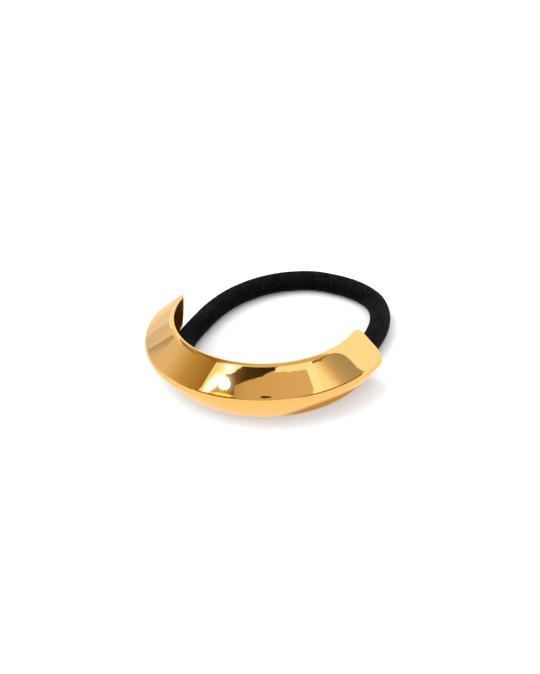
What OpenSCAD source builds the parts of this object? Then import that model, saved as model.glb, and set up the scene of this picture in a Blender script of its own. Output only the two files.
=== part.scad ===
// Cuff hair tie: a hollow half-round metal cuff with a bevelled face, which is worn over a ponytail,
// and the elastic loop that passes through two keepers inside it.
// Z is the axis of the loop and Z = 0 is the surface that both pieces lie on. The cuff's middle faces -Y.

/* [Cuff] */
// Height of the cuff
cuff_h = 13; // [12:0.5:16]
// Radius of the open middle at the top rim
rim_r = 22.5; // [22:0.5:25]
// Width of the top rim, before the bevel starts
rim_w = 0.9; // [0.7:0.1:1.5]
// Radius that rounds the top rim into the bevel
rim_round = 1.6; // [0.5:0.1:1.8]
// Width from the open middle out to the side edge, before the edge is rounded
edge_w = 8; // [7:0.1:10]
// Height of the side edge
edge_z = 7.1; // [6:0.1:8]
// Radius that rounds the side edge
edge_round = 1.25; // [0.5:0.05:2]
// Width from the open middle out to the outer side of the foot
foot_w = 2.8; // [2.6:0.1:3.5]
// Width of the flat face of the foot
foot_flat = 0.5; // [0.3:0.1:0.8]
// How far the under side bulges out between the foot and the side edge
belly_bulge = 0.25; // [0.1:0.05:1]
// Thickness of the metal
wall = 0.9; // [0.7:0.1:1.2]

/* [Cuff ends] */
// Thickness of the wall that closes each end
end_wall = 1.5; // [1:0.1:2.5]
// How far each end reaches past the middle of the loop, at the top rim
end_y = 1.2; // [-1:0.1:2]
// Angle at which an end slants forward towards its outer side
end_slant = 10; // [0:1:15]
// Radius of an end's inner corner, seen from above
end_round_in = 2; // [1:0.1:2.5]
// Radius of an end's outer corner, seen from above
end_round_out = 2.5; // [1.5:0.1:3.5]

/* [Elastic] */
// Diameter of the elastic
elastic_d = 5.2; // [4.6:0.1:5.4]

/* [Keepers] */
// Angle of each keeper from the middle of the cuff
keeper_angle = 43; // [42:0.5:44]
// Length of a keeper along the elastic
keeper_l = 4; // [3:0.5:5]
// Thickness of a keeper's ring
keeper_t = 0.8; // [0.6:0.1:0.9]
// Gap between the elastic and a keeper
keeper_gap = 0.35; // [0.3:0.05:0.4]
// Height of the web that joins a keeper to the cuff
web_h = 2.4; // [1.5:0.1:3]

/* [Hidden] */
$fn = 96;
far = 60;

// The cuff's section, as [radius, height] points.
edge = [rim_r + edge_w, edge_z];
bevel_top = [rim_r + rim_w, cuff_h];
foot = [rim_r + foot_w, 0];
foot_in = [rim_r + foot_w - foot_flat, 0];
bevel_dir = (bevel_top - edge) / norm(bevel_top - edge);
bevel_in = [-bevel_dir.y, bevel_dir.x];
bevel_angle = atan2(bevel_dir.y, -bevel_dir.x);

// The point at height z on the line through p that runs along the bevel.
function on_bevel(p, z) = p + bevel_dir * (z - p.y) / bevel_dir.y;

// The under side is an arc from the foot to the side edge.
belly_chord = edge - foot;
belly_out = [belly_chord.y, -belly_chord.x] / norm(belly_chord);
belly_r = (pow(norm(belly_chord) / 2, 2) + pow(belly_bulge, 2)) / (2 * belly_bulge);
belly_c = (edge + foot) / 2 - belly_out * (belly_r - belly_bulge);

// The round of the side edge touches the bevel and the belly.
edge_from = edge + bevel_in * edge_round - belly_c;
edge_along = -edge_from * bevel_dir
    - sqrt(pow(edge_from * bevel_dir, 2) - edge_from * edge_from + pow(belly_r - edge_round, 2));
edge_c = belly_c + edge_from + bevel_dir * edge_along;
edge_on_bevel = edge_c - bevel_in * edge_round;
edge_on_belly = belly_c + (edge_c - belly_c) * belly_r / (belly_r - edge_round);
widest_r = edge_c.x + edge_round;

// The round of the top rim touches the flat top and the bevel.
rim_run = rim_round * tan(bevel_angle / 2);
rim_c = [bevel_top.x - rim_run, cuff_h - rim_round];
rim_on_top = [rim_c.x, cuff_h];
rim_on_bevel = bevel_top - bevel_dir * rim_run;

// The line of an end, seen from above, with its distance from the axis.
end_back = [sin(end_slant), cos(end_slant)];
end_out = [cos(end_slant), -sin(end_slant)];
end_dist = end_back * [rim_r, end_y];
round_steps = 8;

// The keepers hold the elastic above the surface, on this circle.
keeper_in = elastic_d / 2 + keeper_gap;
keeper_out = keeper_in + keeper_t;
keeper_r = 21.15;
keeper_z = 4;
keeper_span = keeper_l / keeper_r * 180 / PI;

// Route of the elastic's middle line: from the right keeper round the back to the left one, then
// along the inside of the cuff. It lies on the surface, and rises a little to the keepers.
sides = 12;
lie_z = elastic_d / 2;
rise_1 = 2.8;
rise_2 = 3.4;
route = [
    [16, -13.9, keeper_z], [18.7, -10, rise_2], [20.4, -6, rise_1], [21.1, -1.8, lie_z],
    [21.4, 2.8, lie_z], [22, 7.5, lie_z], [22.5, 12.2, lie_z], [22.3, 17, lie_z],
    [21.4, 21.7, lie_z], [19.5, 26.4, lie_z], [16.6, 30.4, lie_z], [12.5, 33.2, lie_z],
    [7.8, 34.9, lie_z], [2.8, 35.5, lie_z], [-2.1, 35.3, lie_z], [-6.8, 33.6, lie_z],
    [-11, 30.9, lie_z], [-14.5, 27.4, lie_z], [-17.2, 23.3, lie_z], [-19.2, 18.8, lie_z],
    [-20.4, 14, lie_z], [-21, 9.2, lie_z], [-21.1, 4.4, lie_z], [-21.1, -0.4, lie_z],
    [-20.5, -5.2, rise_1], [-18.8, -9.8, rise_2], [-16, -13.9, keeper_z], [-12.8, -16.9, keeper_z],
    [-8.8, -19.3, rise_2], [-4.4, -20.8, rise_1], [0, -21.3, lie_z], [4.4, -20.8, rise_1],
    [8.8, -19.3, rise_2], [12.8, -16.9, keeper_z],
];

// What a corner loses when it gets a round with centre c, which meets its sides at a and b.
module corner_waste(c, r, a, b, corner) {
    difference() {
        polygon([c, a, c + 2 * (corner - c), b]);
        translate(c) circle(r);
    }
}

// The cuff's full section, from the open middle to its outer surface.
module solid_section() {
    difference() {
        intersection() {
            polygon([foot_in, on_bevel(edge, 0), bevel_top, [rim_r, cuff_h]]);
            translate(belly_c) circle(belly_r);
        }
        corner_waste(edge_c, edge_round, edge_on_bevel, edge_on_belly, edge);
        corner_waste(rim_c, rim_round, rim_on_top, rim_on_bevel, bevel_top);
    }
}

// The hollow, one wall inside the bevel and the belly and open towards the middle.
module hollow_section() {
    under_bevel = edge + bevel_in * wall;
    intersection() {
        polygon([[rim_r - 2, -1], on_bevel(under_bevel, -1), on_bevel(under_bevel, cuff_h), [rim_r - 2, cuff_h]]);
        translate(belly_c) circle(belly_r - wall);
    }
}

// Points along the round of a corner with centre c, between two angles.
function round_points(c, r, from, to) =
    [for (i = [0 : round_steps]) let (a = from + (to - from) * i / round_steps) c + r * [cos(a), sin(a)]];

// The right half of the cuff's outline seen from above, with its end at this distance from the axis
// and the end's corners rounded where it meets the inner and the outer radius.
function half_plan(dist, r_in, round_in, r_out, round_out) =
    let (c_in = end_back * (dist - round_in)
            + end_out * sqrt(pow(r_in + round_in, 2) - pow(dist - round_in, 2)),
        c_out = end_back * (dist - round_out)
            + end_out * sqrt(pow(r_out - round_out, 2) - pow(dist - round_out, 2)))
    concat([[far, -far], far * c_out / norm(c_out)],
        round_points(c_out, round_out, atan2(c_out.y, c_out.x), 90 - end_slant),
        round_points(c_in, round_in, 90 - end_slant, 180 + atan2(c_in.y, c_in.x)));

module plan(right) {
    polygon(concat(right, [[0, 0]], [for (i = [len(right) - 1 : -1 : 0]) [-right[i].x, right[i].y]]));
}

// A ring round the elastic, on a web that ends inside the cuff's wall.
module keeper(angle) {
    rotate([0, 0, angle - keeper_span / 2])
        rotate_extrude(angle = keeper_span)
            difference() {
                union() {
                    translate([keeper_r, keeper_z]) circle(keeper_out);
                    intersection() {
                        translate([keeper_r, keeper_z - web_h / 2]) square([far, web_h]);
                        translate(belly_c) circle(belly_r - wall / 2);
                    }
                }
                translate([keeper_r, keeper_z]) circle(keeper_in);
            }
}

module cuff() {
    color("goldenrod") union() {
        difference() {
            intersection() {
                rotate_extrude() solid_section();
                linear_extrude(cuff_h + 1)
                    plan(half_plan(end_dist, rim_r, end_round_in, widest_r, end_round_out));
            }
            intersection() {
                rotate_extrude() hollow_section();
                translate([0, 0, -1]) linear_extrude(cuff_h + 2)
                    plan(half_plan(end_dist - end_wall, rim_r - 2, 1, widest_r - wall, end_round_out - wall));
            }
        }
        for (side = [-1, 1]) keeper(-90 + side * keeper_angle);
    }
}

// One ring of the elastic's tube at a point of the route.
function tube_ring(i) =
    let (n = len(route),
        ahead = route[(i + 1) % n] - route[(i + n - 1) % n],
        along = ahead / norm(ahead),
        across = cross(along, [0, 0, 1]) / norm(cross(along, [0, 0, 1])),
        up = cross(across, along))
    [for (k = [0 : sides - 1]) route[i]
        + elastic_d / 2 * (cos(k * 360 / sides) * across + sin(k * 360 / sides) * up)];

module elastic() {
    n = len(route);
    points = [for (i = [0 : n - 1]) each tube_ring(i)];
    faces = [for (i = [0 : n - 1], k = [0 : sides - 1])
        let (j = (i + 1) % n, m = (k + 1) % sides)
        each [[i * sides + k, i * sides + m, j * sides + k], [i * sides + m, j * sides + m, j * sides + k]]];
    color([0.05, 0.05, 0.055]) polyhedron(points, faces);
}

cuff();
elastic();
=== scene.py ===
import math

import bmesh
import bpy
from mathutils import Matrix, Vector, noise


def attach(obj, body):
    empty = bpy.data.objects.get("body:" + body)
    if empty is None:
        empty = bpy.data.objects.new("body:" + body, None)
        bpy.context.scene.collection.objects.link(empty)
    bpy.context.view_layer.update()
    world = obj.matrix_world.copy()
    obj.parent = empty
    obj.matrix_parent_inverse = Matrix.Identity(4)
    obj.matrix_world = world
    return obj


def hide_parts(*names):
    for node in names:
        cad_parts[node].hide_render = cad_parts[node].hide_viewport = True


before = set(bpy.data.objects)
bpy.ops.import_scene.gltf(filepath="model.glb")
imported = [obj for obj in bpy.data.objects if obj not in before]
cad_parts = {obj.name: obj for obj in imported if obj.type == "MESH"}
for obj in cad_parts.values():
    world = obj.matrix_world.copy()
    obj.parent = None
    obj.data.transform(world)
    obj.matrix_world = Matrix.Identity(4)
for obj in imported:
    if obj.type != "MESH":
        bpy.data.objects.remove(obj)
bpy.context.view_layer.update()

mm = 0.001

# The camera stands to the right of the cuff's middle and is turned a little about its own axis.
camera = {
    "target": Vector((0, 0, 13 * mm)),
    "distance": 281 * mm,
    "azimuth": math.radians(25.4),
    "elevation": math.radians(30.8),
    "roll": math.radians(-2.4),
    "lens": 61.95,
    "sensor": 36,
    "shift": (0.0045, -0.0375),
}

# The route is the elastic's middle line, as x, y and height in millimetres: from the right keeper
# round the back to the left one, then along the inside of the cuff.
elastic = {
    "diameter": 5.2 * mm,
    "length": 163 * mm,
    "sides": 48,
    "stepsPerSpan": 14,
    "pile": 0.05 * mm,
    "pileSize": 0.6 * mm,
    "route": [
        (16, -13.9, 4), (18.7, -10, 3.4), (20.4, -6, 2.8), (21.1, -1.8, 2.6),
        (21.4, 2.8, 2.6), (22, 7.5, 2.6), (22.5, 12.2, 2.6), (22.3, 17, 2.6),
        (21.4, 21.7, 2.6), (19.5, 26.4, 2.6), (16.6, 30.4, 2.6), (12.5, 33.2, 2.6),
        (7.8, 34.9, 2.6), (2.8, 35.5, 2.6), (-2.1, 35.3, 2.6), (-6.8, 33.6, 2.6),
        (-11, 30.9, 2.6), (-14.5, 27.4, 2.6), (-17.2, 23.3, 2.6), (-19.2, 18.8, 2.6),
        (-20.4, 14, 2.6), (-21, 9.2, 2.6), (-21.1, 4.4, 2.6), (-21.1, -0.4, 2.6),
        (-20.5, -5.2, 2.8), (-18.8, -9.8, 3.4), (-16, -13.9, 4), (-12.8, -16.9, 4),
        (-8.8, -19.3, 3.4), (-4.4, -20.8, 2.8), (0, -21.3, 2.6), (4.4, -20.8, 2.8),
        (8.8, -19.3, 3.4), (12.8, -16.9, 4),
    ],
}

# The widths are measured out from the rim's inner radius.
cuff = {
    "height": 13 * mm,
    "rimRadius": 22.5 * mm,
    "rimWidth": 0.9 * mm,
    "rimRound": 1.6 * mm,
    "innerRound": 0.25 * mm,
    "edgeWidth": 8 * mm,
    "edgeHeight": 7.1 * mm,
    "edgeRound": 1.25 * mm,
    "footWidth": 2.8 * mm,
    "footFlat": 0.5 * mm,
    "bellyBulge": 0.25 * mm,
    "wall": 0.9 * mm,
    "endWall": 1.5 * mm,
    "endBack": 1.2 * mm,
    "endSlant": math.radians(10),
    "endRoundIn": 2 * mm,
    "endRoundOut": 2.5 * mm,
    "endEdge": 0.22 * mm,
    "hollowShort": 0.5 * mm,
}

# How finely the cuff's mesh is divided, and where it has extra rows of points beside the rounds and
# near the foot.
cuffMesh = {
    "along": 150,
    "innerSteps": 6,
    "roundSteps": 10,
    "bellySteps": 9,
    "hollowSteps": 10,
    "endSteps": 5,
    "endRows": (1 / 3, 2 / 3),
    "nearFoot": [24.1 * mm, 24.4 * mm, 24.7 * mm],
    "afterRim": 0.08 * mm,
    "beforeEdge": 0.05 * mm,
    "merge": 0.0005 * mm,
    "crease": math.radians(32),
}

keeper = {
    "angle": math.radians(43),
    "length": 4 * mm,
    "radius": 21.15 * mm,
    "height": 4 * mm,
    "gap": 0.35 * mm,
    "thickness": 0.8 * mm,
    "web": 2.4 * mm,
    "edge": 0.15 * mm,
    "edgeSteps": 3,
    "sides": 48,
}

# What the mesh attribute "inside" says of a surface's finish. Its highest value also paints the
# colour dark inside the hollow, as painted shade.
polished, satinGold, satinPaintedShade = 0, 0.5, 1


def makeCamera():
    data = bpy.data.cameras.new("camera")
    data.lens = camera["lens"]
    data.sensor_width = camera["sensor"]
    data.shift_x, data.shift_y = camera["shift"]
    turn = (
        Matrix.Rotation(camera["azimuth"], 4, "Z")
        @ Matrix.Rotation(math.pi / 2 - camera["elevation"], 4, "X")
        @ Matrix.Rotation(camera["roll"], 4, "Z")
    )
    spot = camera["target"] + turn @ Vector((0, 0, camera["distance"]))
    body = bpy.data.objects.new("camera", data)
    body.matrix_world = Matrix.Translation(spot) @ turn
    bpy.context.scene.collection.objects.link(body)
    bpy.context.scene.camera = body


def meshPiece(name, bm, material):
    data = bpy.data.meshes.new(name)
    bm.to_mesh(data)
    bm.free()
    for face in data.polygons:
        face.use_smooth = True
    data.materials.append(material)
    piece = bpy.data.objects.new(name, data)
    bpy.context.scene.collection.objects.link(piece)
    return piece


# A smooth closed line through the points.
def smoothLoop(points, steps):
    line = []
    count = len(points)
    for i in range(count):
        a, b, c, d = (points[(i + k) % count] for k in (-1, 0, 1, 2))
        for step in range(steps):
            t = step / steps
            square = (2 * a - 5 * b + 4 * c - d) * t * t
            cube = (3 * b - a - 3 * c + d) * t ** 3
            line.append(0.5 * (2 * b + (c - a) * t + square + cube))
    return line


# The attribute "lay" is a place on the cord: the cosine and the sine of the angle round it, and the
# length along it in radii.
def makeElastic(material):
    radius = elastic["diameter"] / 2
    line = smoothLoop([Vector(p) * mm for p in elastic["route"]], elastic["stepsPerSpan"])
    ahead = line[1:] + line[:1]
    bm = bmesh.new()
    lay = bm.verts.layers.float_vector.new("lay")
    rings = []
    gone = 0
    for i, centre in enumerate(line):
        along = (ahead[i] - line[i - 1]).normalized()
        across = along.cross(Vector((0, 0, 1))).normalized()
        up = across.cross(along)
        ring = []
        for k in range(elastic["sides"]):
            angle = 2 * math.pi * k / elastic["sides"]
            out = math.cos(angle) * across + math.sin(angle) * up
            pile = elastic["pile"] * noise.noise((centre + out * radius) / elastic["pileSize"])
            vert = bm.verts.new(centre + out * (radius + pile))
            vert[lay] = (math.cos(angle), math.sin(angle), gone / radius)
            ring.append(vert)
        rings.append(ring)
        gone += (ahead[i] - centre).length
    for ring, after in zip(rings, rings[1:] + rings[:1]):
        for k in range(len(ring)):
            m = (k + 1) % len(ring)
            bm.faces.new((ring[k], after[k], after[m], ring[m]))
    bmesh.ops.recalc_face_normals(bm, faces=bm.faces)
    piece = meshPiece("velvet_elastic", bm, material)
    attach(piece, "root")
    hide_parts("elastic")
    print("elastic made, length", round(gone, 4))


# The cuff's section, in radius and height: where its straight sides and its rounds lie.
def sectionShape():
    height, innerRound, rimRound = cuff["height"], cuff["innerRound"], cuff["rimRound"]
    innerTop = Vector((cuff["rimRadius"], height))
    bevelTop = innerTop + Vector((cuff["rimWidth"], 0))
    edge = Vector((cuff["rimRadius"] + cuff["edgeWidth"], cuff["edgeHeight"]))
    foot = Vector((cuff["rimRadius"] + cuff["footWidth"], 0))
    footIn = foot - Vector((cuff["footFlat"], 0))
    bevelDir = (bevelTop - edge).normalized()
    bevelOut = Vector((bevelDir.y, -bevelDir.x))
    bevelAngle = math.atan2(bevelOut.y, bevelOut.x)
    chord = edge - foot
    bellyOut = Vector((chord.y, -chord.x)).normalized()
    bulge = cuff["bellyBulge"]
    bellyRadius = ((chord.length / 2) ** 2 + bulge ** 2) / (2 * bulge)
    bellyCentre = (edge + foot) / 2 - bellyOut * (bellyRadius - bulge)

    # Where the bevel's line, moved inwards, meets the belly's arc, moved inwards as much.
    def nearEdge(inset):
        start = edge - bevelOut * inset
        reach = (start - bellyCentre).dot(bevelDir)
        square = (bellyRadius - inset) ** 2 - (start - bellyCentre).length_squared + reach ** 2
        return start + bevelDir * (-reach - math.sqrt(square))

    edgeCentre = nearEdge(cuff["edgeRound"])
    leanDir = (footIn - innerTop).normalized()
    leanIn = Vector((-leanDir.y, leanDir.x))
    innerRun = innerRound * (1 + leanIn.y) / leanIn.x
    rimRun = rimRound * math.tan((math.pi / 2 - bevelAngle) / 2)
    return {
        "foot": foot,
        "footIn": footIn,
        "innerTop": innerTop,
        "leanDir": leanDir,
        "leanIn": leanIn,
        "edge": edge,
        "bevelDir": bevelDir,
        "bevelOut": bevelOut,
        "bevelAngle": bevelAngle,
        "bellyCentre": bellyCentre,
        "bellyRadius": bellyRadius,
        "bellyEnd": math.atan2(*reversed(edgeCentre - bellyCentre)),
        "rimCentre": Vector((bevelTop.x - rimRun, height - rimRound)),
        "edgeCentre": edgeCentre,
        "innerCentre": innerTop + Vector((innerRun, -innerRound)),
        "hollowEdge": nearEdge(cuff["wall"]),
    }


section = sectionShape()
widest = section["edgeCentre"].x + cuff["edgeRound"]


def onLine(point, along, inward, inset, radius):
    start = point + inward * inset
    return start.y + (radius - start.x) * along.y / along.x


def onArc(centre, arcRadius, radius, side):
    return centre.y + side * math.sqrt(max(0, arcRadius ** 2 - (radius - centre.x) ** 2))


# The height of the inner side, which leans from the rim out to the foot.
def lean(radius, inset=0):
    return onLine(section["innerTop"], section["leanDir"], section["leanIn"], inset, radius)


# The height of the upper side at a radius, with the whole section moved inwards by the inset.
def upperSide(radius, inset):
    inner, rim, edge = section["innerCentre"], section["rimCentre"], section["edgeCentre"]
    flatter = math.cos(section["bevelAngle"])
    if radius < inner.x:
        return onArc(inner, cuff["innerRound"] - inset, radius, 1)
    if radius < rim.x:
        return cuff["height"] - inset
    if radius < rim.x + (cuff["rimRound"] - inset) * flatter:
        return onArc(rim, cuff["rimRound"] - inset, radius, 1)
    if radius < edge.x + (cuff["edgeRound"] - inset) * flatter:
        return onLine(section["edge"], section["bevelDir"], -section["bevelOut"], inset, radius)
    return onArc(edge, cuff["edgeRound"] - inset, radius, 1)


# The height of the lower side: down the inner side to the foot, then up the belly to the edge.
def lowerSide(radius, inset):
    inner, edge = section["innerCentre"], section["edgeCentre"]
    if radius < inner.x - (cuff["innerRound"] - inset) * section["leanIn"].x:
        return onArc(inner, cuff["innerRound"] - inset, radius, -1)
    if radius > edge.x + (cuff["edgeRound"] - inset) * math.cos(section["bellyEnd"]):
        return onArc(edge, cuff["edgeRound"] - inset, radius, -1)
    belly = onArc(section["bellyCentre"], section["bellyRadius"] - inset, radius, -1)
    return max(lean(radius, inset), inset, belly)


# The radii at which the section is drawn, closer together on the rounds.
def sectionRadii(inset):
    inner, rim, edge = section["innerCentre"], section["rimCentre"], section["edgeCentre"]
    innerRound, rimRound = cuff["innerRound"] - inset, cuff["rimRound"] - inset
    edgeRound = cuff["edgeRound"] - inset
    bevel, steep = section["bevelAngle"], math.pi / 2 - section["bevelAngle"]
    quarter = [math.pi / 2 * i / cuffMesh["innerSteps"] for i in range(cuffMesh["innerSteps"] + 1)]
    shares = [i / cuffMesh["roundSteps"] for i in range(cuffMesh["roundSteps"] + 1)]
    onInner = [inner.x - innerRound * math.cos(turn) for turn in quarter]
    onRim = [rim.x + rimRound * math.sin(steep * share) for share in shares]
    onEdge = [edge.x + edgeRound * math.cos(bevel * (1 - share)) for share in shares]
    footIn, foot = section["footIn"].x, section["foot"].x
    middle = [onRim[-1] + cuffMesh["afterRim"], *cuffMesh["nearFoot"], footIn, foot]
    belly = [
        foot + (onEdge[0] - foot) * math.sin(math.pi / 2 * i / cuffMesh["bellySteps"])
        for i in range(1, cuffMesh["bellySteps"])
    ]
    return onInner + onRim + middle + belly + [onEdge[0] - cuffMesh["beforeEdge"]] + onEdge


# The hollow opens on the inner side, from the third radius of the section to this one.
lipStep = 2
footLip = cuffMesh["nearFoot"][-1]


# The angle from the cuff's middle at which a circle round the axis meets the end of the cuff, or a
# wall inside it by the inset. The end's outline has a round at its inner and its outer corner.
def endAngle(radius, inset, outerInset=None, innerCorner=True):
    outerInset = inset if outerInset is None else outerInset
    slant = cuff["endSlant"]
    back = math.pi / 2 - slant
    end = cuff["rimRadius"] * math.sin(slant) + cuff["endBack"] * math.cos(slant) - inset
    corners = [(widest - cuff["endRoundOut"], cuff["endRoundOut"] - outerInset, 1)]
    if innerCorner:
        corners.append((cuff["rimRadius"] + cuff["endRoundIn"], cuff["endRoundIn"] - inset, -1))
    for far, bend, side in corners:
        reach = end - bend
        tangent = math.sqrt(far ** 2 + bend ** 2 + 2 * bend * reach)
        if side * (radius - tangent) > 0:
            spread = (far ** 2 + radius ** 2 - bend ** 2) / (2 * far * radius)
            return math.pi / 2 + back - math.acos(reach / far) + math.acos(min(1, spread))
    return math.pi / 2 + back - math.acos(end / radius)


# The hollow ends one end wall inside the cuff's end, and always a little short of the end's edge.
def hollowAngle(radius):
    wall = endAngle(radius, cuff["endWall"], cuff["wall"], innerCorner=False)
    return min(wall, endAngle(radius, cuff["endEdge"]) - cuff["hollowShort"] / radius)


def hollowRadii():
    shared = [r for r in sectionRadii(0)[lipStep:] if r <= footLip]
    run = section["hollowEdge"].x - footLip
    steps = cuffMesh["hollowSteps"]
    turns = [math.pi / 2 * i / steps for i in range(1, steps + 1)]
    return shared + [footLip + run * math.sin(turn) for turn in turns]


def hollowTop(radius):
    first = sectionRadii(0)[lipStep]
    share = (radius - first) / (section["hollowEdge"].x - first)
    return lean(first) + share * (section["hollowEdge"].y - lean(first))


def hollowBottom(radius):
    if radius <= footLip:
        return lean(radius)
    return onArc(section["bellyCentre"], section["bellyRadius"] - cuff["wall"], radius, -1)


def place(radius, height, angle):
    return Vector((radius * math.sin(angle), -radius * math.cos(angle), height))


# Faces between neighbouring rows of points, with three corners where two rows share a point.
def joinRows(bm, rows, closed=False, skip=()):
    for a, b in zip(rows, rows[1:]):
        for i in range(len(a) if closed else len(a) - 1):
            j = (i + 1) % len(a)
            if i not in skip:
                bm.faces.new(dict.fromkeys((a[i], a[j], b[j], b[i])))


# Each ring is the section's outline at one place along the cuff. The rings at an end shrink
# inwards, which rounds the edge between the sides and the end wall.
def makeShell(bm, inside):
    def ring(inset, angleOf, finish=polished):
        radii = sectionRadii(inset)
        outline = [(r, upperSide(r, inset)) for r in radii]
        outline += [(r, lowerSide(r, inset)) for r in radii[-2:0:-1]]
        verts = [bm.verts.new(place(r, z, angleOf(r))) for r, z in outline]
        for vert, (r, z) in zip(verts[len(radii):], outline[len(radii):]):
            vert[inside] = finish if r <= footLip else polished
        return verts

    def insideRow(height, share):
        row = [bm.verts.new(place(r, height(r), share * hollowAngle(r))) for r in hollowRadii()]
        for vert in row:
            vert[inside] = satinPaintedShade
        return row

    def endRings(side):
        edge = cuff["endEdge"]

        def between(r, share):
            return side * (hollowAngle(r) * (1 - share) + endAngle(r, edge) * share)

        rings = [ring(0, lambda r: between(r, share), satinGold) for share in cuffMesh["endRows"]]
        for step in range(cuffMesh["endSteps"] + 1):
            turn = math.pi / 2 * step / cuffMesh["endSteps"]
            inset, endInset = edge * (1 - math.cos(turn)), edge * (1 - math.sin(turn))
            rings.append(ring(inset, lambda r: side * endAngle(r, endInset), satinGold))
        return rings

    steps = cuffMesh["along"]
    along = [2 * i / steps - 1 for i in range(steps + 1)]
    middle = [ring(0, lambda r: share * hollowAngle(r)) for share in along]
    radii = sectionRadii(0)
    count = len(radii)
    below = {r: 2 * count - 2 - i for i, r in enumerate(radii)}
    joinRows(bm, middle, closed=True, skip=range(below[footLip], below[radii[lipStep]]))
    # The last ring of an end is filled between its upper and its lower half.
    for side, last in ((-1, middle[0]), (1, middle[-1])):
        rings = endRings(side)
        joinRows(bm, [last] + rings, closed=True)
        wall = rings[-1]
        joinRows(bm, [wall[:count], [wall[0]] + wall[:count - 2:-1]])

    # The hollow's top and bottom meet at their last points, and walls between them close its ends.
    tops = [insideRow(hollowTop, share) for share in along]
    bottoms = [insideRow(hollowBottom, share) for share in along]
    shut = len([r for r in hollowRadii() if r < footLip])
    joinRows(bm, tops)
    joinRows(bm, [row[shut:] for row in bottoms])
    for side in (0, -1):
        joinRows(bm, [tops[side], bottoms[side]])


# The radius at a height where the middle of the belly's wall is.
def wallMiddle(height):
    arc = section["bellyRadius"] - cuff["wall"] / 2
    centre = section["bellyCentre"]
    return centre.x + math.sqrt(arc ** 2 - (height - centre.y) ** 2)


# A ring with softened edges round the elastic, and the web that joins it to the wall of the cuff.
def makeKeeper(bm, angle, inside):
    before = set(bm.verts)
    half = keeper["length"] / keeper["radius"] / 2
    inner = elastic["diameter"] / 2 + keeper["gap"]
    outer = inner + keeper["thickness"]
    rows = []
    for i in range(keeper["sides"]):
        turn = 2 * math.pi * i / keeper["sides"]
        row = []
        for size, side in ((outer, -1), (outer, 1), (inner, 1), (inner, -1)):
            radius = keeper["radius"] + size * math.cos(turn)
            height = keeper["height"] + size * math.sin(turn)
            row.append(bm.verts.new(place(radius, height, angle + side * half)))
        rows.append(row)
    after = rows[1:] + rows[:1]
    joinRows(bm, rows + [rows[0]], closed=True)
    edges = [bm.edges.get(pair) for a, b in zip(rows, after) for pair in zip(a, b)]
    bmesh.ops.bevel(
        bm, geom=edges, offset=keeper["edge"], segments=keeper["edgeSteps"], profile=0.5,
        affect="EDGES",
    )
    low, high = (keeper["height"] + side * keeper["web"] / 2 for side in (-1, 1))
    near = keeper["radius"] + inner + keeper["thickness"] / 2
    corners = [(near, low), (near, high), (wallMiddle(high), high), (wallMiddle(low), low)]
    web = [
        [bm.verts.new(place(r, z, angle + side * half)) for r, z in corners] for side in (-1, 0, 1)
    ]
    joinRows(bm, web, closed=True)
    for row in (web[0], web[-1]):
        bm.faces.new(row)
    for vert in set(bm.verts) - before:
        vert[inside] = satinGold


def makeCuff(material):
    bm = bmesh.new()
    inside = bm.verts.layers.float.new("inside")
    makeShell(bm, inside)
    bmesh.ops.remove_doubles(bm, verts=bm.verts, dist=cuffMesh["merge"])
    bmesh.ops.dissolve_degenerate(bm, edges=bm.edges, dist=cuffMesh["merge"])
    for side in (-1, 1):
        makeKeeper(bm, side * keeper["angle"], inside)
    bmesh.ops.recalc_face_normals(bm, faces=bm.faces)
    gaps = [edge for edge in bm.edges if not edge.is_manifold]
    for edge in bm.edges:
        edge.smooth = len(edge.link_faces) == 2 and edge.calc_face_angle() < cuffMesh["crease"]
    piece = meshPiece("gold_cuff", bm, material)
    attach(piece, "root")
    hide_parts("cuff")
    print("cuff made, faces", len(piece.data.polygons), "open edges", len(gaps))


def shaderOf(name):
    material = bpy.data.materials.new(name)
    material.use_nodes = True
    return material, material.node_tree, material.node_tree.nodes["Principled BSDF"]


# Sets a node's inputs, by name or by number, to values or to the outputs of other nodes.
def feed(tree, node, inputs):
    for key, value in inputs.items():
        if isinstance(value, bpy.types.NodeSocket):
            tree.links.new(value, node.inputs[key])
        else:
            node.inputs[key].default_value = value


def addNode(tree, kind, inputs=None, **settings):
    node = tree.nodes.new("ShaderNode" + kind)
    for key, value in settings.items():
        setattr(node, key, value)
    feed(tree, node, inputs or {})
    return node


# The stops are pairs of a share and a colour.
def addRamp(tree, share, stops):
    ramp = addNode(tree, "ValToRGB", {"Fac": share})
    elements = ramp.color_ramp.elements
    while len(elements) < len(stops):
        elements.new(0.5)
    for element, (spot, colour) in zip(elements, stops):
        element.position = spot
        element.color = (*colour, 1)
    return ramp.outputs["Color"]


# A value carried over from one range to another, and held at its ends.
def addRange(tree, value, span, onto=(0, 1)):
    names = ("Value", "From Min", "From Max", "To Min", "To Max")
    return addNode(tree, "MapRange", dict(zip(names, (value, *span, *onto)))).outputs["Result"]


def addMath(tree, operation, *values):
    return addNode(tree, "Math", dict(enumerate(values)), operation=operation).outputs[0]


def addVectorMath(tree, operation, *values):
    return addNode(tree, "VectorMath", dict(enumerate(values)), operation=operation)


def addMix(tree, share, one, other, **settings):
    inputs = {"Factor": share, "A": one, "B": other}
    return addNode(tree, "Mix", inputs, data_type="RGBA", **settings).outputs["Result"]


def addMixShader(tree, share, one, other):
    return addNode(tree, "MixShader", {0: share, 1: one, 2: other}).outputs[0]


def addNoise(tree, spot, scale, detail, roughness=0.5):
    inputs = {"Vector": spot, "Scale": scale, "Detail": detail, "Roughness": roughness}
    return addNode(tree, "TexNoise", inputs).outputs["Fac"]


def addBump(tree, height, distance):
    inputs = {"Height": height, "Distance": distance, "Strength": 1}
    return addNode(tree, "Bump", inputs).outputs["Normal"]


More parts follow.
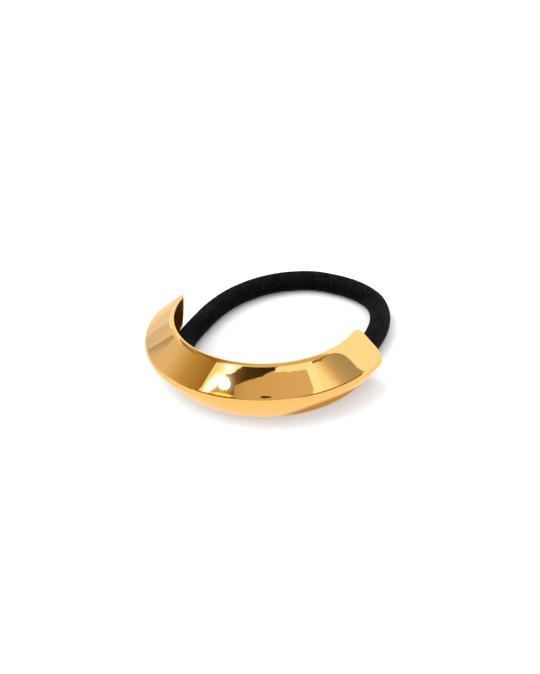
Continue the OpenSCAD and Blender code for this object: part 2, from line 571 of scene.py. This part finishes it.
gold = {
    "haze": {"scale": 1 / (9 * mm), "detail": 5, "roughness": 0.6},
    "tint": ((0.3, (1, 0.68, 0.25)), (0.75, (0.985, 0.6596, 0.235))),
    # Painted shade: the hollow's inside gets this dark colour in place of the gold, for the shade
    # in the hollow.
    "hollow": (0.3, 0.15, 0.04),
    "hazeSpan": (0.35, 0.75),
    "polish": (0.006, 0.03),
    "satin": 0.35,
    "wave": 0.0006 * mm,
    "waves": {"scale": 1 / (5 * mm), "detail": 1},
}


# Mirror-bright gold plate: a faint haze where it has been handled, and the slight waviness of a
# polished sheet. The hollow is left satin, and its colour is painted dark as painted shade in the
# hollow.
def makeGold():
    material, tree, shader = shaderOf("polished_gold")
    spot = addNode(tree, "TexCoord").outputs["Object"]
    haze = addNoise(tree, spot, **gold["haze"])
    inside = addNode(tree, "Attribute", attribute_name="inside").outputs["Fac"]
    polish = addRange(tree, haze, gold["hazeSpan"], gold["polish"])
    tint = addRamp(tree, haze, gold["tint"])
    # Painted shade: the share of the dark hollow colour, full inside the hollow and none elsewhere.
    deep = addRange(tree, inside, (satinGold, satinPaintedShade))
    feed(tree, shader, {
        "Metallic": 1,
        "Roughness": addMath(tree, "MULTIPLY_ADD", inside, gold["satin"], polish),
        "Base Color": addMix(tree, deep, tint, (*gold["hollow"], 1)),
        "Normal": addBump(tree, addNoise(tree, spot, **gold["waves"]), gold["wave"]),
    })
    return material


# The scales and the stretch are in radii of the cord. The grain's share in the pattern is beside
# one share each of the streaks and the patches.
velvet = {
    "pile": ((0.43, (0.0006, 0.0006, 0.0007)), (0.61, (0.009, 0.009, 0.01))),
    "lint": ((0.63, (0, 0, 0)), (0.74, (0.05, 0.05, 0.058))),
    # Painted light: the colour is scaled from darker to lighter towards this side of the cord, the
    # outer upper one, between the two factors below.
    "paintedLightSide": (0.7, 0.7, 0),
    "paintedTopLight": (0.4, 1.6),
    "grain": {"scale": 8, "detail": 2, "roughness": 0.6},
    "grainShare": 4,
    "streaks": {"scale": 4, "detail": 3, "roughness": 0.6},
    "streakStretch": (1, 1, 0.14),
    "patches": {"scale": 0.8, "detail": 2},
    "specks": {"scale": 11, "detail": 2},
    "relief": 0.05 * mm,
    "roughness": 0.95,
    "specular": 0.03,
    "sheen": 0.025,
    "sheenRoughness": 0.35,
}


# Black velvet: short pile with dark and lighter patches where it lies over, lengthwise streaks and
# a few specks. The outer upper side is painted lighter, as painted light from above.
def makeVelvet():
    material, tree, shader = shaderOf("black_velvet")
    spot = addNode(tree, "Attribute", attribute_name="lay").outputs["Vector"]
    stretched = addNode(tree, "Mapping", {"Vector": spot, "Scale": velvet["streakStretch"]})
    grain = addNoise(tree, spot, **velvet["grain"])
    streaks = addNoise(tree, stretched.outputs["Vector"], **velvet["streaks"])
    patches = addNoise(tree, spot, **velvet["patches"])
    specks = addNoise(tree, spot, **velvet["specks"])
    nap = addMath(tree, "MULTIPLY_ADD", grain, velvet["grainShare"], streaks)
    total = addMath(tree, "ADD", nap, patches)
    mean = addMath(tree, "DIVIDE", total, velvet["grainShare"] + 2)
    pile = addRamp(tree, mean, velvet["pile"])
    lint = addRamp(tree, specks, velvet["lint"])
    both = addMix(tree, 1, pile, lint, blend_type="ADD")
    # Painted light: the colour is made lighter on the cord's outer upper side and darker on the
    # side away from it.
    facing = addVectorMath(tree, "DOT_PRODUCT", spot, velvet["paintedLightSide"]).outputs["Value"]
    lit = addVectorMath(tree, "SCALE", both)
    feed(tree, lit, {"Scale": addRange(tree, facing, (-1, 1), velvet["paintedTopLight"])})
    feed(tree, shader, {
        "Base Color": lit.outputs["Vector"],
        "Roughness": velvet["roughness"],
        "Specular IOR Level": velvet["specular"],
        "Sheen Weight": velvet["sheen"],
        "Sheen Roughness": velvet["sheenRoughness"],
        "Normal": addBump(tree, nap, velvet["relief"]),
    })
    return material


# What stands round the table, seen only in the metal: flat cards at about one height above the
# floor, with corners in millimetres. A card hides those that come after it. Its light turns from
# one colour to another between its stops, each of which is a place and a colour.
ceiling = 300 * mm
cardGap = 0.02 * mm
lampSpot = (-109.5, -177.1)


# An ellipse round a centre, through its two half axes.
def ellipse(centre, one, other, count=28):
    turns = [2 * math.pi * i / count for i in range(count)]
    centre, one, other = Vector(centre), Vector(one), Vector(other)
    return [centre + one * math.cos(turn) + other * math.sin(turn) for turn in turns]


# Edges along which two cards meet.
flagEdge = [
    (-59.2, -181.1), (-63.1, -176.1), (-45.6, -172.8), (-21.9, -167.3), (7.9, -158.9), (37, -148),
    (62.1, -135),
]
wallEdge = [(-9140, 5478), (-5370, 3132), (-2816, 1496), (-1500, 700), (-1150, 470)]
bandEdge = [
    (-377, -283), (-277, -302), (-188, -310), (-105, -275), (-40, -222), (15, -211), (67, -193),
    (116, -168), (162, -138), (267, -153), (319, -100), (369, -36), (418, 40), (468, 133),
    (520, 250),
]

cards = {
    "lens": {
        "corners": [
            (33.2, -161.1), (39.7, -158.2), (47.9, -154.9), (57.8, -150.9), (67.5, -146.6),
            (74.9, -143.6), (67.7, -147.6), (58.1, -152), (48.4, -156.1), (40.1, -159.1),
        ],
        "stops": [((33, -160), (0.03, 0.02, 0.01)), ((75, -145), (0.05, 0.03, 0.015))],
    },
    "lamp": {
        "corners": ellipse(lampSpot, (25, 0.15), (-6.2, 3.4)),
        "stops": [((-130, -177), (9, 9, 9)), ((-90, -177), (9, 9, 9))],
    },
    "yellow_line": {
        "corners": [
            (-165, -180.3), (-137, -182.4), (-110, -183.4), (-84, -183.1), (-58, -181.6),
            (-58, -182.6), (-82, -184.4), (-107, -184.8), (-134, -183.9), (-160, -181.8),
        ],
        "stops": [
            ((-165, -181), (0.7, 0.6, 0.15)), ((-130, -183), (1.5, 1.4, 0.1)),
            ((-80, -183), (1.3, 1.2, 0.1)), ((-58, -182), (0.5, 0.4, 0.1)),
        ],
    },
    "dark_flag": {
        "corners": [
            (-172, -181.5), (-166.7, -180.3), (-144.4, -178.6), (-138.7, -176.3), (-125.8, -174.1),
            (-109, -171.7), (-90.7, -171.3), (-74.8, -169.3), (-63.6, -166.7), (-50.3, -164.4),
            (-47, -140), (-30, -128), (0, -121), (40, -110), (84, -96), (92, -112), (83.5, -123.3),
            *flagEdge[::-1], (-70, -185), (-110, -188), (-150, -187),
        ],
        "stops": [
            ((-165, -180), (0.42, 0.28, 0.1)), ((-110, -178), (0.3, 0.2, 0.09)),
            ((-60, -172), (0.16, 0.1, 0.05)), ((-25, -165), (0.07, 0.045, 0.02)),
            ((40, -140), (0.05, 0.03, 0.012)),
        ],
    },
    "left_shade": {
        "corners": [
            (-1800, 689), (-1400, 480), (-1009, 276), (-880, 208), (-770, 152), (-806, 106),
            (-900, 150), (-1030, 220), (-1425, 430), (-1830, 640),
        ],
        "stops": [
            ((-1009, 275), (0.46, 0.4, 0.4)), ((-1016, 262), (0.52, 0.45, 0.45)),
            ((-1024, 246), (0.66, 0.57, 0.6)), ((-1032, 231), (0.74, 0.64, 0.65)),
        ],
    },
    "soft_box": {
        "corners": [
            (-178, -159.7), (-189.4, -162.8), (-201.1, -166.5), (-211.2, -170.5), (-225, -171.5),
            (-205, -176), (-166.7, -181), (-144, -178.8), (-138, -176.6), (-125, -174.4),
            (-109, -172), (-90, -171.6), (-74, -169.6), (-63, -167), (-49, -164.6), (-46, -120),
            (-60, -60), (-78, -48), (-98, -72), (-124, -110), (-150, -140), (-176, -157),
        ],
        "stops": [
            ((-220, -160), (0.98, 0.84, 0.5)), ((-198, -163), (0.98, 0.95, 0.75)),
            ((-172, -165), (0.98, 0.92, 0.72)), ((-150, -166), (1, 1.05, 0.98)),
            ((-131, -168), (1, 1.3, 1.7)), ((-106, -170), (1, 1.5, 3.4)),
            ((-84, -169), (1, 1.4, 2.2)), ((-58, -166), (1, 1.1, 1.1)),
        ],
    },
    "tan_panel": {
        "corners": [
            (-60, -182), *flagEdge, (75, -127.8), (83.1, -124.4), (100.4, -114.4), (130.4, -94.1),
            (159.4, -69.3), (186.1, -41.6), (189.5, -41.9), (192, -42.5), (195.1, -44.5),
            (198.3, -45.5), (194, -54), (178, -75), (139, -109), (98, -137), (53, -159), (6, -174),
            (-44, -184),
        ],
        "stops": [
            ((-60, -180), (0.5, 0.38, 0.22)), ((-20, -170), (0.62, 0.47, 0.31)),
            ((60, -120), (0.66, 0.51, 0.36)), ((190, -45), (0.7, 0.55, 0.42)),
        ],
    },
    "grey_trim": {
        "corners": [
            (206, -10), (231, 28), (243, 52), (252, 69), (253.2, 68.4), (244.4, 51.4),
            (232.4, 27.2), (207.4, -10.9),
        ],
        "stops": [((206, -10), (0.3, 0.2, 0.08)), ((252, 69), (0.24, 0.15, 0.06))],
    },
    "grey_panel": {
        "corners": [
            (212, -4), (206, 30), (205, 100), (232, 104), (238.2, 84.7), (269.3, 106.1),
            (280.4, 131.3), (295.4, 165.3), (304.3, 183.5), (313.8, 197.7), (323.5, 205.1),
            (331.8, 220.7), (339.7, 238.2), (335, 211), (308, 133), (278, 68), (247, 12),
            (223, -22),
        ],
        "stops": [
            ((226, 4), (1, 1, 0.95)), ((222.2, 8.6), (0.92, 0.85, 0.72)),
            ((217.8, 14), (0.78, 0.66, 0.5)), ((212.1, 20.9), (0.6, 0.5, 0.38)),
            ((207.7, 26.3), (0.54, 0.46, 0.38)), ((201.4, 34), (0.47, 0.42, 0.36)),
            ((182, 58), (0.41, 0.37, 0.33)),
        ],
    },
    "pale_panel": {
        "corners": [(186, -40), (193, -59), (214, -34), (247, 12), (250, 30), (215, 5)],
        "stops": [((190, -45), (1.05, 1.12, 1.15)), ((225, 0), (1.05, 1.12, 1.2))],
    },
    "overhead": {
        "corners": [
            (-300, 215), (-420, 30), (-405, -72), (-325, -108), (-255, -132), (-193, -150),
            (-176, -156), (-150, -139), (-124, -109), (-98, -71), (-78, -47), (-60, -55),
            (-46, -118), (-2, -108), (52, -96), (84, -88), (115, -66), (190, -18), (232, 60),
            (200, 100), (160, 110), (60, 150), (0, 200), (-72, 235), (-165, 250),
        ],
        "stops": [
            ((-400, 50), (0.4, 0.28, 0.16)), ((-321, 50), (0.24, 0.15, 0.08)),
            ((-280, 50), (0.45, 0.33, 0.22)), ((-243, 50), (0.55, 0.4, 0.27)),
            ((-212, 50), (0.36, 0.22, 0.09)), ((-180, 50), (0.26, 0.15, 0.05)),
            ((-150, 50), (0.32, 0.19, 0.06)), ((-110, 50), (0.6, 0.45, 0.3)),
            ((-50, 50), (0.74, 0.64, 0.5)), ((60, 50), (0.68, 0.56, 0.42)),
            ((230, 50), (0.6, 0.46, 0.3)),
        ],
    },
    "left_wall": {
        "corners": [
            (-8097, 3990), (-1009, 275), (-760, 160), (-520, 60), (-420, 30), (-400, -60),
            (-325, -105), (-255, -130), (-190, -150), (-178, -159), (-201, -166), (-213, -171),
            (-226, -173), (-270, -230), (-450, -420), (-900, -380), (-1600, -260), (-9000, 300),
        ],
        "stops": [
            ((-1000, 200), (0.76, 0.66, 0.66)), ((-560, -20), (0.77, 0.65, 0.62)),
            ((-470, -70), (0.67, 0.54, 0.4)), ((-400, -95), (0.59, 0.45, 0.27)),
            ((-330, -115), (0.5, 0.35, 0.16)), ((-270, -135), (0.44, 0.29, 0.12)),
            ((-205, -158), (0.35, 0.21, 0.07)),
        ],
    },
    "far_wall": {
        "corners": [
            *wallEdge, (-900, 370), (-560, 290), (-370, 290), (-330, 230), (-430, 60), (-640, 100),
            (-1009, 272), (-8097, 3980),
        ],
        "stops": [
            ((-2600, 1250), (0.69, 0.64, 0.7)), ((-1500, 560), (0.72, 0.65, 0.7)),
            ((-1100, 400), (0.79, 0.72, 0.75)), ((-600, 170), (0.84, 0.78, 0.8)),
            ((-400, 110), (0.86, 0.8, 0.82)),
        ],
    },
    "back_wall": {
        "corners": [(-30000, 16500), *wallEdge, (-800, 700), (-1200, 1500), (-30000, 34000)],
        "stops": [
            ((-1073, 760), (0.94, 0.93, 0.98)), ((-2600, 1700), (0.86, 0.81, 0.86)),
            ((-8000, 5000), (0.82, 0.76, 0.83)),
        ],
    },
    "dark_room": {
        "corners": [
            (-280, -157), (-213, -174), (-152, -183), (-96, -185), (-43, -181), (6, -171),
            (52, -156), (96, -134), (137, -107), (175, -74), (211, -34), (244, 12), (275, 67),
            (305, 132), (332, 210), *bandEdge[::-1],
        ],
        "stops": [
            ((-300, -200), (0.14, 0.08, 0.02)), ((-60, -200), (0.2, 0.12, 0.04)),
            ((0, -200), (0.45, 0.33, 0.18)), ((140, -200), (0.45, 0.33, 0.18)),
            ((230, -200), (0.16, 0.1, 0.03)), ((400, -200), (0.2, 0.12, 0.04)),
        ],
    },
    "pale_room": {
        "corners": [
            *bandEdge, (2000, 600), (9000, 2500), (7000, -5000), (0, -9000), (-4600, -7000),
        ],
        "stops": [((-300, -200), (0.98, 0.88, 0.74)), ((400, -200), (0.97, 0.86, 0.72))],
    },
}

# Light that spills softly round the lamp and the soft box.
glows = {
    "lamp_glow": {
        "centre": lampSpot, "halfAxes": (66, 9.6), "colour": (0.6, 0.72, 1.1), "strength": 1.8,
        "fall": 2.2,
    },
    "box_glow": {
        "centre": (-164, -174.6), "halfAxes": (46, 7.5), "colour": (0.4, 0.6, 1.4), "strength": 5,
        "fall": 1.5,
    },
}


def cardMesh(name, corners, height, material):
    bm = bmesh.new()
    bm.faces.new([bm.verts.new((x * mm, y * mm, height)) for x, y in corners])
    piece = meshPiece(name, bm, material)
    piece.visible_camera = piece.visible_diffuse = piece.visible_shadow = False


def emptyMaterial(name):
    material, tree, shader = shaderOf(name)
    tree.nodes.remove(shader)
    return material, tree, tree.nodes["Material Output"]


def makeCard(name, card, height):
    material, tree, output = emptyMaterial(name)
    start, end = (Vector(card["stops"][i][0]) * mm for i in (0, -1))
    run = (end - start) / (end - start).length_squared
    spot = addNode(tree, "TexCoord").outputs["Object"]
    share = addVectorMath(tree, "DOT_PRODUCT", spot, (*run, 0)).outputs["Value"]
    share = addMath(tree, "SUBTRACT", share, start.dot(run))
    strongest = max(max(colour) for at, colour in card["stops"])
    stops = [
        ((Vector(at) * mm - start).dot(run), [c / strongest for c in colour])
        for at, colour in card["stops"]
    ]
    light = {"Color": addRamp(tree, share, stops), "Strength": strongest}
    feed(tree, output, {"Surface": addNode(tree, "Emission", light).outputs[0]})
    cardMesh(name, card["corners"], height, material)


def makeGlow(name, glow, height):
    material, tree, output = emptyMaterial(name)
    centre, halfAxes = ([v * mm for v in glow[key]] for key in ("centre", "halfAxes"))
    spot = addNode(tree, "TexCoord").outputs["Object"]
    inside = {"Vector": spot, "Location": (*centre, height), "Scale": (*halfAxes, 1)}
    inside = addNode(tree, "Mapping", inside, vector_type="TEXTURE").outputs["Vector"]
    fall = addNode(tree, "TexGradient", {"Vector": inside}, gradient_type="SPHERICAL")
    fall = addMath(tree, "POWER", fall.outputs["Fac"], glow["fall"])
    strength = addMath(tree, "MULTIPLY", fall, glow["strength"])
    light = addNode(tree, "Emission", {"Color": (*glow["colour"], 1), "Strength": strength})
    clear = addNode(tree, "BsdfTransparent")
    both = addNode(tree, "AddShader", {0: light.outputs[0], 1: clear.outputs[0]})
    feed(tree, output, {"Surface": both.outputs[0]})
    wide, deep = glow["halfAxes"]
    cardMesh(name, ellipse(glow["centre"], (wide, 0), (0, deep)), height, material)


# The sky is brighter on one side, and even in the metal. What the metal throws back on the floor is
# bluer, both from the sky and from the floor, so that the gold doesn't stain the paper. Where the
# metal sees the paper it shows a painted reflection: the paper glows, warmer near the cuff and
# cooler far away, with a painted shadow under the cuff's right half.
studio = {
    "skyBright": 1.45,
    "skyDull": 1.02,
    "skyTurn": math.radians(-60),
    "skyInMetal": 1.02,
    "skyBounce": (0.38, 0.5, 1),
    "skyBounceStrength": 2.5,
    "sunAzimuth": math.radians(-75),
    "sunElevation": math.radians(50),
    "sunSpread": math.radians(50),
    "sunEnergy": 1.1,
    "floor": (0.97, 0.97, 0.97),
    "floorHalf": 2,
    "floorRoughness": 0.9,
    # Painted reflection: where the metal sees the floor, this share of it glows with the painted
    # colours below, and the rest is lit with those colours dimmed.
    "paintedGlowShare": 0.88,
    "floorDim": 0.68,
    "paintedFloorTones": (
        (45 * mm, (1.09, 0.88, 0.68)),
        (95 * mm, (0.92, 0.8, 0.62)),
        (400 * mm, (0.72, 0.72, 0.74)),
    ),
    # Painted shadow: round this spot under the cuff's right half, the floor as the metal sees it is
    # darkened to the colour below. It is fully dark within the first reach and not darkened at all
    # beyond the second.
    "paintedShadowSpot": (10 * mm, -6 * mm, 0),
    "paintedShadowReach": (15.3 * mm, 16.6 * mm),
    "paintedShadowColour": (0.51, 0.37, 0.15),
    "floorBounce": (0.6, 0.85, 2.5),
}


# The level direction to a thing at this angle from the cuff's middle.
def levelTo(azimuth):
    return Vector((math.sin(azimuth), -math.cos(azimuth), 0))


def makeWorld():
    world = bpy.data.worlds.new("studio")
    world.use_nodes = True
    tree = world.node_tree
    white = (1, 1, 1, 1)
    inMetal = tree.nodes["Background"]
    feed(tree, inMetal, {"Color": white, "Strength": studio["skyInMetal"]})
    spot = addNode(tree, "TexCoord").outputs["Generated"]
    side = addVectorMath(tree, "DOT_PRODUCT", spot, levelTo(studio["skyTurn"])).outputs["Value"]
    sky = addRange(tree, side, (-1, 1), (studio["skyDull"], studio["skyBright"]))
    onFloor = addNode(tree, "Background", {"Color": white, "Strength": sky})
    bounce = {"Color": (*studio["skyBounce"], 1), "Strength": studio["skyBounceStrength"]}
    bounce = addNode(tree, "Background", bounce)
    path = addNode(tree, "LightPath").outputs
    bounced = addNode(
        tree, "Math", {0: path["Is Glossy Ray"], 1: path["Diffuse Depth"]},
        operation="MULTIPLY", use_clamp=True,
    )
    seen = addMixShader(tree, path["Is Diffuse Ray"], inMetal.outputs[0], onFloor.outputs[0])
    seen = addMixShader(tree, bounced.outputs[0], seen, bounce.outputs[0])
    feed(tree, tree.nodes["World Output"], {"Surface": seen})
    bpy.context.scene.world = world


def makeFloor():
    bm = bmesh.new()
    bmesh.ops.create_grid(bm, x_segments=1, y_segments=1, size=studio["floorHalf"])
    material, tree, shader = shaderOf("floor")
    spot = addNode(tree, "TexCoord").outputs["Object"]
    away = addVectorMath(tree, "LENGTH", spot).outputs["Value"]
    # Painted reflection: the floor's colour where the metal sees it, warmer near the cuff and
    # cooler far away.
    tone = addRamp(tree, away, studio["paintedFloorTones"])
    # Painted shadow: as the metal sees it, the floor is darkened round a spot under the cuff's
    # right half.
    under = addVectorMath(tree, "DISTANCE", spot, studio["paintedShadowSpot"]).outputs["Value"]
    clear = addRange(tree, under, studio["paintedShadowReach"])
    shade = addMix(tree, clear, (*studio["paintedShadowColour"], 1), (1, 1, 1, 1))
    tone = addMix(tree, 1, tone, shade, blend_type="MULTIPLY")
    path = addNode(tree, "LightPath").outputs
    tone = addMix(tree, path["Diffuse Depth"], tone, (*studio["floorBounce"], 1))
    dim = addVectorMath(tree, "SCALE", tone)
    feed(tree, dim, {"Scale": studio["floorDim"]})
    white = (*studio["floor"], 1)
    feed(tree, shader, {
        "Base Color": addMix(tree, path["Is Glossy Ray"], white, dim.outputs["Vector"]),
        "Roughness": studio["floorRoughness"],
        "Specular IOR Level": 0,
    })
    # Painted reflection: the floor glows, though it is no lamp, where the metal sees it.
    light = addNode(tree, "Emission", {"Color": tone, "Strength": 1})
    share = addMath(tree, "MULTIPLY", path["Is Glossy Ray"], studio["paintedGlowShare"])
    both = addMixShader(tree, share, shader.outputs[0], light.outputs[0])
    feed(tree, tree.nodes["Material Output"], {"Surface": both})
    meshPiece("floor", bm, material)


def makeSun():
    data = bpy.data.lights.new("sun", "SUN")
    data.energy = studio["sunEnergy"]
    data.angle = studio["sunSpread"]
    lamp = bpy.data.objects.new("sun", data)
    rise = studio["sunElevation"]
    toLamp = math.cos(rise) * levelTo(studio["sunAzimuth"]) + Vector((0, 0, math.sin(rise)))
    lamp.matrix_world = toLamp.to_track_quat("Z", "Y").to_matrix().to_4x4()
    lamp.visible_glossy = False
    bpy.context.scene.collection.objects.link(lamp)


def makeStudio():
    makeWorld()
    makeFloor()
    makeSun()
    for i, (name, card) in enumerate(cards.items()):
        makeCard(name, card, ceiling + i * cardGap)
    for i, (name, glow) in enumerate(glows.items()):
        makeGlow(name, glow, ceiling - (i + 1) * cardGap)
    print("studio made")


bpy.context.scene.view_settings.view_transform = "Standard"
makeCamera()
print("camera made")
makeElastic(makeVelvet())
makeCuff(makeGold())
makeStudio()
